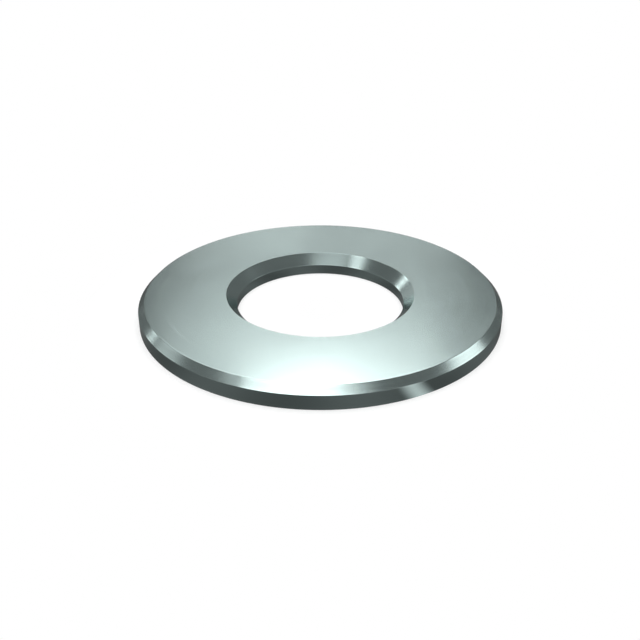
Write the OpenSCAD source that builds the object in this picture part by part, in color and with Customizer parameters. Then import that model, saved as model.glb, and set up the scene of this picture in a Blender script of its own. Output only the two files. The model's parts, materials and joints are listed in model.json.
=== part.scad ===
// Chamfered flat washer, turned from one piece of steel.
// It lies on its plain underside: the origin is the middle of the underside, and +Z
// runs up the hole's axis to the chamfered face. Lengths are in millimetres.

/* [Washer] */
// Outside diameter
outside_d = 28; // [24:0.5:40]
// Diameter of the bolt hole
bore_d = 13; // [8:0.5:17]
// Thickness, from the underside to the top face
thickness = 1.6; // [1.4:0.1:4]

/* [Edges] */
// Width and height of the 45 degree chamfer round the rim of the top face
rim_chamfer = 0.5; // [0.2:0.1:1]
// Width and height of the 45 degree chamfer at the mouth of the hole in the top face
bore_chamfer = 0.8; // [0.2:0.1:1.2]
// Radius that deburring leaves on every edge
edge_radius = 0.02; // [0.02:0.02:0.1]

/* [Hidden] */
outside_r = outside_d / 2;
bore_r = bore_d / 2;
// Straight steps that make up the rounding of one edge
edge_steps = 4;

// Corners of the washer's section, in turn from the hole's lower edge: x is the
// distance from the axis and y the height over the underside
function section_corners() = [
    [bore_r, 0],
    [outside_r, 0],
    [outside_r, thickness - rim_chamfer],
    [outside_r - rim_chamfer, thickness],
    [bore_r + bore_chamfer, thickness],
    [bore_r, thickness - bore_chamfer]
];

function unit(v) = v / norm(v);

// Arc of radius r that rounds a corner, from the side towards before to the side towards
// after. Its centre lies on the bisector, as far from both sides as the radius.
function corner_arc(before, corner, after, r) =
    let (
        back = unit(before - corner),
        ahead = unit(after - corner),
        half_angle = acos(back * ahead) / 2,
        centre = corner + unit(back + ahead) * r / sin(half_angle),
        middle = unit(corner - centre),
        side = [middle.y, -middle.x],
        sweep = 90 - half_angle
    )
    [for (step = [0:edge_steps])
        let (turn = sweep * (1 - 2 * step / edge_steps))
        centre + r * (cos(turn) * middle + sin(turn) * side)];

// The section's outline with each of its corners rounded
function section_outline(corners, r) =
    let (count = len(corners))
    [for (i = [0:count - 1])
        each corner_arc(corners[(i + count - 1) % count], corners[i], corners[(i + 1) % count], r)];

module washer() {
    color([0.62, 0.69, 0.67])
        rotate_extrude($fn = 180)
            polygon(section_outline(section_corners(), edge_radius));
}

washer();
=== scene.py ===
"""Chamfered flat washer: its finished surface, its steel, and a plain studio round it."""

import json
import math

import bmesh
import bpy
import numpy as np
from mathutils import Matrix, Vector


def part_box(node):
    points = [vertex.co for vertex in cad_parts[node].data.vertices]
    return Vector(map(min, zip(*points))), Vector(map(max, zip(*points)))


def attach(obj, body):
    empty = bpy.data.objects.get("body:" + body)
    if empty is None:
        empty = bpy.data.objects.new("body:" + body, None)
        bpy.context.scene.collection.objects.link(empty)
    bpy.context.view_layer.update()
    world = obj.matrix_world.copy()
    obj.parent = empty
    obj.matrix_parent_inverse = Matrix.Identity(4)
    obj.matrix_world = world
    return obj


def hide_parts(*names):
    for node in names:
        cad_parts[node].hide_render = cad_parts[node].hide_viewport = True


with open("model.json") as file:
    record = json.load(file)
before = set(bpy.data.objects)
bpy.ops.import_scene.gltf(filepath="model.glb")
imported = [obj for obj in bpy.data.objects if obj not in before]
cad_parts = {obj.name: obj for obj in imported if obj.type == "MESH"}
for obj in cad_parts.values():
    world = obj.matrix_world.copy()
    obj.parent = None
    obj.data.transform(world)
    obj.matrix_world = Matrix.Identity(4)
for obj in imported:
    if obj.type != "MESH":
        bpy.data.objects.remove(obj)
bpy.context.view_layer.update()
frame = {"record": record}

bl_info = {
    "name": "Chamfered flat washer",
    "version": (1, 0, 0),
    "blender": (4, 5, 0),
    "location": "3D View > Sidebar > Washer",
    "description": "Makes a chamfered flat washer of turned steel, and a studio to see it in",
    "category": "Add Mesh",
}

MM = 0.001
WHITE = (1, 1, 1, 1)
WASHER_LOW, WASHER_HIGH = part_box("washer")
BORE = next(mount for mount in frame["record"]["mounts"] if mount["name"] == "bore")
BORE_RADIUS = BORE["dims"]["r_mm"] * MM

# Steps round the washer, round each edge, and along each straight side of its section
ROUND_STEPS = 384
ARC_STEPS = 4
FLAT_STEPS = 8

# How much the wide and the narrow turning marks change on their way round, and how many
# narrow marks take up the width of a wide one
WIDE_WANDER = 0.35
NARROW_WANDER = 0.8
NARROW_PER_WIDE = 3
# The drift of tone and gloss: its features per millimetre, and its share in the gloss,
# where the narrow marks have the rest
DRIFT_PER_MM = 0.3
DRIFT_SHARE = 0.3
# How soft all noise of the steel is, and the range that it mostly keeps to
SOFT_NOISE = {"Detail": 1, "Roughness": 0.4}
NOISE_LOW, NOISE_HIGH = 0.3, 0.7

# Soft boxes: azimuth from +Y towards +X, elevation, half width and half height in
# degrees as the washer sees them, and brightness, where 1 is white. The back ones show
# mostly in the top face, and those in front, left and right mostly in the chamfers
SOFT_BOXES = {
    "back_strip": (0, 42, 3, 5, 4),
    "back_high_panel": (7, 38, 12, 3, 2.5),
    "back_middle_panel": (-2, 32, 11, 4, 0.8),
    "back_low_panel": (0, 18, 11, 7, 0.44),
    "back_low_strip": (-4, 20, 3, 4, 0.2),
    "back_left_spot": (-8, 28, 2, 2, 0.15),
    "back_right_panel": (20, 25, 8, 8, 0.06),
    "overhead_box": (0, 75, 25, 12, 0.5),
    "front_box": (-170, 50, 30, 8, 2),
    "front_high_panel": (-165, 62, 16, 7, 0.55),
    "right_box": (84, 25, 14, 8, 1.4),
    "left_panel": (-80, 20, 11, 9, 0.5),
    "left_spot": (-62, 15, 2, 4, 1.4),
    "left_high_strip": (-110, 55, 5, 10, 1.3),
    "left_back_strip": (-45, 23, 3, 5, 2),
    "left_back_panel": (-25, 10, 12, 10, 0.3),
}
# The first four of these values for the lamp that lights the floor alone
FLOOR_LAMP = (0, 90, 24, 24)

# The floor's half side, how far it lies below the washer, and how far beside the ring it
# still takes some light and shadow
FLOOR_HALF_SIDE = 1.9
FLOOR_DEPTH = 0.02 * MM
SHADING_REACH = 5 * MM
# The dark card's half side, how far it lies below the washer, and the distance from the
# axis where it starts to fade
CARD_HALF_SIDE = 0.4
CARD_DEPTH = 0.01 * MM
CARD_FADE_START = 0.1
# The dome of dim walls: its radius, and its points from the floor to its top and round it
WALL_RADIUS = 2.5
WALL_ROWS = 24
WALL_COLUMNS = 64
# The walls' lighter part: a direction's share towards -Y where it is full, and the
# elevations between which it fades out
FRONT_SHARE = 0.6
FRONT_FADE_START = math.radians(22)
FRONT_FADE_END = math.radians(40)


class WasherSizes(bpy.types.PropertyGroup):
    """Sizes of the washer. The frame gives the large ones."""

    outside_radius: bpy.props.FloatProperty(
        name="Outside radius",
        description="From the axis to the rim",
        default=WASHER_HIGH.x,
        unit="LENGTH",
    )
    bore_radius: bpy.props.FloatProperty(
        name="Bore radius",
        description="From the axis to the wall of the hole",
        default=BORE_RADIUS,
        unit="LENGTH",
    )
    underside: bpy.props.FloatProperty(
        name="Underside",
        description="Height of the face that the washer lies on",
        default=WASHER_LOW.z,
        unit="LENGTH",
    )
    top_face: bpy.props.FloatProperty(
        name="Top face",
        description="Height of the flat ring between the two chamfers",
        default=WASHER_HIGH.z,
        unit="LENGTH",
    )
    rim_chamfer: bpy.props.FloatProperty(
        name="Rim chamfer",
        description="Width and height of the 45 degree chamfer round the rim",
        default=0.5 * MM,
        unit="LENGTH",
    )
    bore_chamfer: bpy.props.FloatProperty(
        name="Bore chamfer",
        description="Width and height of the 45 degree chamfer at the mouth of the hole",
        default=0.8 * MM,
        unit="LENGTH",
    )
    edge_radius: bpy.props.FloatProperty(
        name="Edge radius",
        description="Rounding that deburring leaves on every edge",
        default=0.02 * MM,
        unit="LENGTH",
    )
    edge_wear: bpy.props.FloatProperty(
        name="Edge wear",
        description="How far from an edge the steel is rubbed brighter",
        default=0.07 * MM,
        unit="LENGTH",
    )


class SteelFinish(bpy.types.PropertyGroup):
    """Colour and surface of the steel."""

    colour: bpy.props.FloatVectorProperty(
        name="Steel",
        description="Pale grey-green of the steel",
        default=(0.553, 0.68, 0.663),
        subtype="COLOR",
        size=3,
        min=0,
        max=1,
    )
    tone_change: bpy.props.FloatProperty(
        name="Tone change",
        description="Share by which the colour drifts from place to place",
        default=0.05,
        subtype="FACTOR",
        min=0,
        max=1,
    )
    worn_tone: bpy.props.FloatProperty(
        name="Worn tone",
        description="How bright the rubbed edges are, where 1 is as bright as the steel",
        default=1.12,
        min=0,
    )
    roughness: bpy.props.FloatProperty(
        name="Roughness",
        description="Roughness of the turned faces",
        default=0.2,
        subtype="FACTOR",
        min=0,
        max=1,
    )
    roughness_change: bpy.props.FloatProperty(
        name="Roughness change",
        description="Share by which the roughness changes from mark to mark",
        default=0.16,
        subtype="FACTOR",
        min=0,
        max=1,
    )
    worn_roughness: bpy.props.FloatProperty(
        name="Worn roughness",
        description="How rough the rubbed edges are, where 1 is as rough as the faces",
        default=0.8,
        min=0,
    )
    mark_pitch: bpy.props.FloatProperty(
        name="Mark pitch",
        description="Distance from one wide turning mark to the next",
        default=0.18 * MM,
        unit="LENGTH",
    )
    mark_depth: bpy.props.FloatProperty(
        name="Mark depth",
        description="Depth of the wide turning marks",
        default=0.0005 * MM,
        unit="LENGTH",
        precision=6,
    )


class StudioSettings(bpy.types.PropertyGroup):
    """Floor, walls, light level and camera of the studio."""

    floor_colour: bpy.props.FloatVectorProperty(
        name="Floor",
        description="Pale colour of the floor",
        default=(0.94, 0.94, 0.94),
        subtype="COLOR",
        size=3,
        min=0,
        max=1,
    )
    shadow_share: bpy.props.FloatProperty(
        name="Shadow share",
        description="How much of the floor's white takes light and shadow near the washer",
        default=0.4,
        subtype="FACTOR",
        min=0,
        max=1,
    )
    wall_level: bpy.props.FloatProperty(
        name="Wall level",
        description="Brightness of the dim walls that the steel reflects",
        default=0.15,
        min=0,
    )
    front_wall_level: bpy.props.FloatProperty(
        name="Front wall level",
        description="Brightness of the low wall behind the camera",
        default=0.55,
        min=0,
    )
    # The dark card: painted shade in the reflections of the rim and the hole's wall, with painted
    # light and dark bands round the washer
    card_level: bpy.props.FloatProperty(
        name="Card level",
        description="Brightness of the dark card that the rim reflects",
        default=0.11,
        min=0,
    )
    card_bands: bpy.props.IntProperty(
        name="Card bands",
        description="How many times the card's grey rises and falls round the washer",
        default=8,
        min=1,
    )
    band_change: bpy.props.FloatProperty(
        name="Band change",
        description="Share by which the card's grey rises and falls",
        default=0.22,
        subtype="FACTOR",
        min=0,
        max=1,
    )
    band_azimuth: bpy.props.FloatProperty(
        name="Band azimuth",
        description="Where the first pale band lies, from +X towards +Y",
        default=math.radians(-123),
        subtype="ANGLE",
    )
    # The card's pale streak: a painted highlight in the rim's reflection
    streak_level: bpy.props.FloatProperty(
        name="Streak level",
        description="Brightness of the pale streak on the dark card",
        default=0.6,
        min=0,
    )
    streak_azimuth: bpy.props.FloatProperty(
        name="Streak azimuth",
        description="Where on the card the streak lies, from +X towards +Y",
        default=math.radians(-61.5),
        subtype="ANGLE",
    )
    streak_width: bpy.props.FloatProperty(
        name="Streak width",
        description="Angle from the middle of the streak to where it ends",
        default=math.radians(5.5),
        subtype="ANGLE",
    )
    floor_level: bpy.props.FloatProperty(
        name="Floor level",
        description="Brightness of the lamp that lights the floor alone",
        default=3.3,
        min=0,
    )
    lamp_distance: bpy.props.FloatProperty(
        name="Lamp distance",
        description="From the washer to each soft box",
        default=0.35,
        unit="LENGTH",
    )
    camera_aside: bpy.props.FloatProperty(
        name="Camera aside",
        description="From the washer's axis sideways to the camera, along +X",
        default=-0.027 * MM,
        unit="LENGTH",
        precision=6,
    )
    camera_back: bpy.props.FloatProperty(
        name="Camera back",
        description="From the washer's axis back to the camera",
        default=58.5 * MM,
        unit="LENGTH",
    )
    camera_height: bpy.props.FloatProperty(
        name="Camera height",
        description="From the washer's underside up to the camera",
        default=30.69 * MM,
        unit="LENGTH",
    )
    camera_pitch: bpy.props.FloatProperty(
        name="Camera pitch",
        description="How far below level the camera looks",
        default=math.radians(28.45),
        subtype="ANGLE",
    )
    camera_lens: bpy.props.FloatProperty(
        name="Camera lens",
        description="Focal length for a 36 mm wide image",
        default=47.15,
        min=1,
    )


def unit(vectors):
    """Each row of an array scaled to length 1."""
    return vectors / np.linalg.norm(vectors, axis=-1, keepdims=True)


def corner_arcs(corners, radius):
    """Roundings of a convex outline's corners, as points and outward normals.

    The centre of an arc lies on the corner's bisector, radius / sin(half angle) from the
    corner. The normal turns evenly from square to the side before to square to the side
    after, and a point is the centre plus the radius along its normal."""
    back = unit(np.roll(corners, 1, axis=0) - corners)
    ahead = unit(np.roll(corners, -1, axis=0) - corners)
    half_angle = np.arccos((back * ahead).sum(axis=1)) / 2
    inward = unit(back + ahead)
    centre = corners + inward * (radius / np.sin(half_angle))[:, None]
    middle = -inward[:, None, :]
    side = np.stack([middle[..., 1], -middle[..., 0]], axis=-1)
    turn = (np.pi / 2 - half_angle)[:, None] * np.linspace(1, -1, ARC_STEPS + 1)
    normals = np.cos(turn)[..., None] * middle + np.sin(turn)[..., None] * side
    return centre[:, None, :] + radius * normals, normals


def washer_section(sizes):
    """The washer's closed section as points (distance from the axis, height), their
    outward normals and their distance from the nearest edge.

    Between two corner arcs lies a straight side, whose points crowd towards its ends as
    (1 - cos(t)) / 2 does, so that the wear along the edges has points to fade over."""
    inner, outer = sizes.bore_radius, sizes.outside_radius
    low, high = sizes.underside, sizes.top_face
    corners = np.array([
        (inner, low),
        (outer, low),
        (outer, high - sizes.rim_chamfer),
        (outer - sizes.rim_chamfer, high),
        (inner + sizes.bore_chamfer, high),
        (inner, high - sizes.bore_chamfer),
    ])
    arcs, arc_normals = corner_arcs(corners, sizes.edge_radius)
    starts, ends = arcs[:, -1], np.roll(arcs[:, 0], -1, axis=0)
    along = (1 - np.cos(np.linspace(0, np.pi, FLAT_STEPS + 1)[1:-1])) / 2
    flats = starts[:, None, :] + along[None, :, None] * (ends - starts)[:, None, :]
    flat_normals = np.repeat(arc_normals[:, -1:], FLAT_STEPS - 1, axis=1)
    length = np.linalg.norm(ends - starts, axis=1)[:, None]
    flat_distance = np.minimum(along, 1 - along) * length
    points = np.concatenate([arcs, flats], axis=1).reshape(-1, 2)
    normals = np.concatenate([arc_normals, flat_normals], axis=1).reshape(-1, 2)
    distance = np.concatenate([np.zeros(arcs.shape[:2]), flat_distance], axis=1).ravel()
    return points, normals, distance


def turned(profile, steps):
    """A profile of (distance from the axis, height) carried round the Z axis: row j of
    the result is the profile turned by the angle 2 pi j / steps."""
    angle = np.linspace(0, 2 * np.pi, steps, endpoint=False)[:, None]
    return np.stack([
        profile[:, 0] * np.cos(angle),
        profile[:, 0] * np.sin(angle),
        np.broadcast_to(profile[:, 1], (steps, len(profile))),
    ], axis=-1)


def grid_faces(columns, rows, closed_rows):
    """Quads between neighbouring points of a grid that closes on itself over its columns,
    and over its rows too if asked. Their corners run so that they face outwards where
    the rows run anticlockwise round a section."""
    row = np.arange(rows if closed_rows else rows - 1)
    column = np.arange(columns)[:, None]
    next_row, next_column = (row + 1) % rows, (column + 1) % columns
    corners = [
        column * rows + row,
        next_column * rows + row,
        next_column * rows + next_row,
        column * rows + next_row,
    ]
    return np.stack(np.broadcast_arrays(*corners), axis=-1).reshape(-1, 4)


def mesh_object(name, points, faces):
    """A smooth-shaded mesh object of quads, at the origin, with its place in its mesh."""
    mesh = bpy.data.meshes.new(name)
    mesh.vertices.add(len(points))
    mesh.vertices.foreach_set("co", points.astype(np.float32).ravel())
    mesh.loops.add(faces.size)
    mesh.loops.foreach_set("vertex_index", faces.astype(np.int32).ravel())
    mesh.polygons.add(len(faces))
    mesh.polygons.foreach_set("loop_start", np.arange(0, faces.size, 4, dtype=np.int32))
    mesh.update(calc_edges=True)
    mesh.shade_smooth()
    thing = bpy.data.objects.new(name, mesh)
    bpy.context.scene.collection.objects.link(thing)
    return thing


def new_material(name):
    """An empty node material, with its tree and its output's surface socket."""
    material = bpy.data.materials.new(name)
    material.use_nodes = True
    tree = material.node_tree
    tree.nodes.clear()
    return material, tree, tree.nodes.new("ShaderNodeOutputMaterial").inputs["Surface"]


def node(tree, kind, inputs=None, **settings):
    """A new node. An input is given by name or number, as a value or as a socket to link."""
    made = tree.nodes.new(kind)
    for name, value in settings.items():
        setattr(made, name, value)
    for key, value in (inputs or {}).items():
        if isinstance(value, bpy.types.NodeSocket):
            tree.links.new(value, made.inputs[key])
        else:
            made.inputs[key].default_value = value
    return made


def number_math(tree, operation, *inputs):
    """The number that a Math node gives."""
    made = node(tree, "ShaderNodeMath", dict(enumerate(inputs)), operation=operation)
    return made.outputs[0]


def vector_math(tree, operation, inputs):
    """The vector that a Vector Math node gives."""
    return node(tree, "ShaderNodeVectorMath", inputs, operation=operation).outputs[0]


def vector_length(tree, vector):
    """The length of a vector."""
    made = node(tree, "ShaderNodeVectorMath", {0: vector}, operation="LENGTH")
    return made.outputs["Value"]


def blend(tree, share, first, second):
    """The number first where share is 0, second where it is 1, and evenly in between."""
    return node(tree, "ShaderNodeMix", {0: share, 2: first, 3: second}).outputs[0]


def blend_colours(tree, share, first, second):
    """The colour first where share is 0, second where it is 1, and evenly in between."""
    made = node(tree, "ShaderNodeMix", {0: share, 6: first, 7: second}, data_type="RGBA")
    return made.outputs[2]


def blend_shaders(tree, share, first, second):
    """The shader first where share is 0, second where it is 1, and evenly in between."""
    return node(tree, "ShaderNodeMixShader", {0: share, 1: first, 2: second}).outputs[0]


def ramp(tree, value, start, end, low=0, high=1, curve="SMOOTHSTEP"):
    """low as far as where value is start, and high from where it is end. In between it
    runs as curve says: soft at both ends, or straight if that is LINEAR."""
    return node(
        tree,
        "ShaderNodeMapRange",
        {"Value": value, "From Min": start, "From Max": end, "To Min": low, "To Max": high},
        interpolation_type=curve,
    ).outputs[0]


def glow(tree, level):
    """White light of a brightness, where 1 is white."""
    return node(tree, "ShaderNodeEmission", {"Color": WHITE, "Strength": level}).outputs[0]


def marks_round_axis(tree, direction, radius, height, pitch, wander):
    """Noise that changes quickly from the axis outwards and up the walls, by one feature
    per pitch in millimetres, and slowly on the way round: turning marks.

    It is 4D noise at (wander cos a, wander sin a, height / pitch, radius / pitch), so it
    closes on itself after a turn."""
    up = number_math(tree, "DIVIDE", height, pitch)
    out = number_math(tree, "DIVIDE", radius, pitch)
    lift = node(tree, "ShaderNodeCombineXYZ", {"Z": up}).outputs[0]
    place = vector_math(tree, "MULTIPLY_ADD", {0: direction, 1: (wander, wander, 0), 2: lift})
    return node(
        tree,
        "ShaderNodeTexNoise",
        {"Vector": place, "W": out, "Scale": 1, **SOFT_NOISE},
        noise_dimensions="4D",
    ).outputs["Fac"]


def turned_steel(finish):
    """Satin steel with turning marks round the axis, wide ones in its bump and narrow ones
    in its gloss. Tone and gloss drift slowly, and the edges are rubbed a little smoother
    and brighter."""
    material, tree, surface = new_material("turned_steel")
    place = node(tree, "ShaderNodeTexCoord").outputs["Object"]
    in_mm = vector_math(tree, "SCALE", {0: place, "Scale": 1 / MM})
    height = node(tree, "ShaderNodeSeparateXYZ", {0: in_mm}).outputs["Z"]
    level = vector_math(tree, "MULTIPLY", {0: in_mm, 1: (1, 1, 0)})
    radius = vector_length(tree, level)
    direction = vector_math(tree, "NORMALIZE", {0: level})
    pitch = finish.mark_pitch / MM
    narrow_pitch = pitch / NARROW_PER_WIDE
    wide = marks_round_axis(tree, direction, radius, height, pitch, WIDE_WANDER)
    narrow = marks_round_axis(tree, direction, radius, height, narrow_pitch, NARROW_WANDER)
    slow = {"Vector": in_mm, "Scale": DRIFT_PER_MM, **SOFT_NOISE}
    drift = node(tree, "ShaderNodeTexNoise", slow).outputs["Fac"]
    wear = node(tree, "ShaderNodeAttribute", attribute_name="edge_wear").outputs["Fac"]

    steel = np.array(finish.colour)
    dark_tone = steel * (1 - finish.tone_change)
    pale_tone = np.minimum(steel * (1 + finish.tone_change), 1)
    worn_tone = np.minimum(steel * finish.worn_tone, 1)
    tone = blend_colours(tree, drift, (*dark_tone, 1), (*pale_tone, 1))
    colour = blend_colours(tree, wear, tone, (*worn_tone, 1))

    gloss = blend(tree, DRIFT_SHARE, narrow, drift)
    smoothest = finish.roughness * (1 - finish.roughness_change)
    roughest = finish.roughness * (1 + finish.roughness_change)
    unworn = ramp(tree, gloss, NOISE_LOW, NOISE_HIGH, smoothest, roughest, "LINEAR")
    roughness = blend(tree, wear, unworn, finish.roughness * finish.worn_roughness)
    marks = {"Strength": 1, "Distance": finish.mark_depth, "Height": wide}
    normal = node(tree, "ShaderNodeBump", marks).outputs[0]
    shader = node(
        tree,
        "ShaderNodeBsdfPrincipled",
        {"Base Color": colour, "Metallic": 1, "Roughness": roughness, "Normal": normal},
    ).outputs[0]
    tree.links.new(shader, surface)
    return material


def seen_directly(tree):
    """1 for what the camera sees, also by way of metal or glass, and 0 for light."""
    path = node(tree, "ShaderNodeLightPath").outputs
    mirrored = number_math(tree, "MAXIMUM", path["Is Glossy Ray"], path["Is Transmission Ray"])
    return number_math(tree, "MAXIMUM", path["Is Camera Ray"], mirrored)


def floor_paper(studio):
    """White paper: pale for light, and for the eye part shaded, so that it keeps the
    washer's shadow, and part plain white. Away from the ring, by the difference between
    the distance from the axis and the ring's middle radius, it is all plain white."""
    material, tree, surface = new_material("floor_paper")
    paper = node(tree, "ShaderNodeBsdfDiffuse", {"Color": (*studio.floor_colour, 1)}).outputs[0]
    place = node(tree, "ShaderNodeTexCoord").outputs["Object"]
    middle = (WASHER_HIGH.x + BORE_RADIUS) / 2
    half_width = (WASHER_HIGH.x - BORE_RADIUS) / 2
    across = number_math(tree, "SUBTRACT", vector_length(tree, place), middle)
    away = number_math(tree, "ABSOLUTE", across)
    plain_share = 1 - studio.shadow_share
    plain = ramp(tree, away, half_width, half_width + SHADING_REACH, plain_share)
    share = number_math(tree, "MULTIPLY", plain, seen_directly(tree))
    tree.links.new(blend_shaders(tree, share, paper, glow(tree, 1)), surface)
    return material


def white_world():
    """A world that is white to the eye and gives no light of its own."""
    world = bpy.data.worlds.new("white_world")
    world.use_nodes = True
    tree = world.node_tree
    tree.nodes.clear()
    output = tree.nodes.new("ShaderNodeOutputWorld")
    white = {"Color": WHITE, "Strength": seen_directly(tree)}
    sky = node(tree, "ShaderNodeBackground", white).outputs[0]
    tree.links.new(sky, output.inputs["Surface"])
    return world


def level_sheet(name, half_side, height, material):
    """A level square sheet of the stage, with its middle on the washer's axis."""
    corners = half_side * np.array([(-1, -1), (1, -1), (1, 1), (-1, 1)])
    points = np.column_stack([corners, np.full(4, height)])
    sheet = mesh_object(name, points, np.arange(4).reshape(1, 4))
    sheet.data.materials.append(material)
    return sheet


def dark_card(studio):
    """A dark glowing card under the washer that shows only in reflections. It paints shade into
    the reflections of the rim and the wall of the hole, so that they stand out dark against
    the white floor.

    Its grey rises and falls on the way round as 1 + change x cos(bands x angle) does, where
    the angle runs from the first band: painted light and dark bands in the rim's
    reflection. One pale streak lies across it, a painted highlight in the rim, and it fades
    away far from the washer."""
    material, tree, surface = new_material("card_grey")
    place = node(tree, "ShaderNodeTexCoord").outputs["Object"]
    axes = node(tree, "ShaderNodeSeparateXYZ", {0: place}).outputs
    azimuth = number_math(tree, "ARCTAN2", axes["Y"], axes["X"])
    phase = -studio.card_bands * studio.band_azimuth
    turn = number_math(tree, "MULTIPLY_ADD", azimuth, studio.card_bands, phase)
    wave = number_math(tree, "COSINE", turn)
    swing = studio.card_level * studio.band_change
    grey = number_math(tree, "MULTIPLY_ADD", wave, swing, studio.card_level)
    # The pale streak: a painted highlight in the rim's reflection
    from_streak = number_math(tree, "SUBTRACT", azimuth, studio.streak_azimuth)
    aside = number_math(tree, "ABSOLUTE", from_streak)
    streak = ramp(tree, aside, studio.streak_width, 0, high=studio.streak_level)
    light = glow(tree, number_math(tree, "ADD", grey, streak))
    clear = node(tree, "ShaderNodeBsdfTransparent").outputs[0]
    fade = ramp(tree, vector_length(tree, place), CARD_FADE_START, CARD_HALF_SIDE)
    tree.links.new(blend_shaders(tree, fade, light, clear), surface)
    card = level_sheet("dark_card", CARD_HALF_SIDE, -CARD_DEPTH, material)
    card.visible_camera = False
    card.visible_diffuse = False
    card.visible_shadow = False


def wall_grey(studio):
    """Dim walls, lighter behind the camera below the soft boxes. The lighter part grows
    with the direction's share towards -Y and ends where its share upwards is large."""
    material, tree, surface = new_material("wall_grey")
    place = node(tree, "ShaderNodeTexCoord").outputs["Object"]
    direction = vector_math(tree, "NORMALIZE", {0: place})
    share = node(tree, "ShaderNodeSeparateXYZ", {0: direction}).outputs
    front = ramp(tree, share["Y"], 0, -FRONT_SHARE)
    low = ramp(tree, share["Z"], math.sin(FRONT_FADE_END), math.sin(FRONT_FADE_START))
    lighter = number_math(tree, "MULTIPLY", front, low)
    level = blend(tree, lighter, studio.wall_level, studio.front_wall_level)
    tree.links.new(glow(tree, level), surface)
    return material


def dim_walls(studio):
    """A dome of dim walls round the set, which steel reflects and the camera looks through.
    Its profile is a quarter circle from the floor to its top, where its points are merged."""
    rise = np.radians(np.linspace(0, 90, WALL_ROWS))
    profile = WALL_RADIUS * np.stack([np.cos(rise), np.sin(rise)], axis=-1)
    points = turned(profile, WALL_COLUMNS).reshape(-1, 3)
    dome = mesh_object("dim_walls", points, grid_faces(WALL_COLUMNS, WALL_ROWS, False))
    shape = bmesh.new()
    shape.from_mesh(dome.data)
    bmesh.ops.remove_doubles(shape, verts=shape.verts, dist=1 * MM)
    shape.to_mesh(dome.data)
    shape.free()
    dome.data.materials.append(wall_grey(studio))
    dome.visible_camera = False


def soft_box(name, azimuth, elevation, half_width, half_height, level, distance):
    """An area lamp that faces the washer. Its power is level x pi x its area, so that its
    face has the brightness level, where 1 is white."""
    lamp = bpy.data.lights.new(name, "AREA")
    lamp.shape = "RECTANGLE"
    lamp.size = 2 * distance * math.tan(math.radians(half_width))
    lamp.size_y = 2 * distance * math.tan(math.radians(half_height))
    lamp.energy = level * math.pi * lamp.size * lamp.size_y
    box = bpy.data.objects.new(name, lamp)
    bpy.context.scene.collection.objects.link(box)
    round_z, up = math.radians(azimuth), math.radians(elevation)
    box.location = (
        distance * math.sin(round_z) * math.cos(up),
        distance * math.cos(round_z) * math.cos(up),
        distance * math.sin(up),
    )
    box.rotation_euler = (math.pi / 2 - up, 0, math.pi - round_z)
    return box


def photo_camera(studio):
    """The camera at the photograph's viewing angle, which looks along +Y and down."""
    lens = bpy.data.cameras.new("photo_camera")
    lens.lens = studio.camera_lens
    lens.clip_start = 1 * MM
    camera = bpy.data.objects.new("photo_camera", lens)
    bpy.context.scene.collection.objects.link(camera)
    camera.location = (studio.camera_aside, -studio.camera_back, studio.camera_height)
    camera.rotation_euler = (math.pi / 2 - studio.camera_pitch, 0, 0)
    bpy.context.scene.camera = camera


class OBJECT_OT_washer_body(bpy.types.Operator):
    """Make the washer's turned surface with its chamfers and steel"""

    bl_idname = "object.washer_body"
    bl_label = "Washer"

    def execute(self, context):
        sizes, finish = context.scene.washer_sizes, context.scene.washer_finish
        profile, profile_normals, distance = washer_section(sizes)
        points = turned(profile, ROUND_STEPS).reshape(-1, 3)
        washer = mesh_object("washer_body", points, grid_faces(ROUND_STEPS, len(profile), True))
        normals = turned(profile_normals, ROUND_STEPS).reshape(-1, 3)
        washer.data.normals_split_custom_set_from_vertices(normals)
        # The wear is 1 on an edge, and falls to 1 / e at the distance edge_wear from it
        worn = np.exp(-distance / sizes.edge_wear)
        wear = washer.data.attributes.new("edge_wear", "FLOAT", "POINT")
        wear.data.foreach_set("value", np.tile(worn, ROUND_STEPS).astype(np.float32))
        washer.data.materials.append(turned_steel(finish))
        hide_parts("washer")
        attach(washer, "root")
        return {"FINISHED"}


class OBJECT_OT_washer_studio(bpy.types.Operator):
    """Make the floor, the dim walls, the soft boxes and the camera"""

    bl_idname = "object.washer_studio"
    bl_label = "Studio"

    def execute(self, context):
        scene, studio = context.scene, context.scene.washer_studio
        photo_camera(studio)
        level_sheet("floor", FLOOR_HALF_SIDE, -FLOOR_DEPTH, floor_paper(studio))
        dark_card(studio)
        dim_walls(studio)
        for name, settings in SOFT_BOXES.items():
            soft_box(name, *settings, studio.lamp_distance)
        floor_lamp = soft_box("floor_lamp", *FLOOR_LAMP, studio.floor_level, studio.lamp_distance)
        floor_lamp.visible_glossy = False
        scene.world = white_world()
        scene.view_settings.view_transform = "Standard"
        return {"FINISHED"}


class VIEW3D_PT_washer(bpy.types.Panel):
    """Lists the washer's operators and settings in the sidebar"""

    bl_label = "Washer"
    bl_space_type = "VIEW_3D"
    bl_region_type = "UI"
    bl_category = "Washer"

    def draw(self, context):
        layout = self.layout
        for operator in OPERATORS:
            layout.operator(operator.bl_idname)
        for name in GROUPS:
            group = getattr(context.scene, name)
            for setting in group.bl_rna.properties:
                if setting.identifier not in {"rna_type", "name"}:
                    layout.prop(group, setting.identifier)


GROUPS = {
    "washer_sizes": WasherSizes,
    "washer_finish": SteelFinish,
    "washer_studio": StudioSettings,
}
OPERATORS = (OBJECT_OT_washer_body, OBJECT_OT_washer_studio)
CLASSES = (*GROUPS.values(), *OPERATORS, VIEW3D_PT_washer)


def register():
    for each in CLASSES:
        bpy.utils.register_class(each)
    for name, group in GROUPS.items():
        setattr(bpy.types.Scene, name, bpy.props.PointerProperty(type=group))


def unregister():
    for name in GROUPS:
        delattr(bpy.types.Scene, name)
    for each in reversed(CLASSES):
        bpy.utils.unregister_class(each)


def main():
    """Make everything."""
    register()
    bpy.ops.object.washer_body()
    bpy.ops.object.washer_studio()


if __name__ == "__main__":
    main()
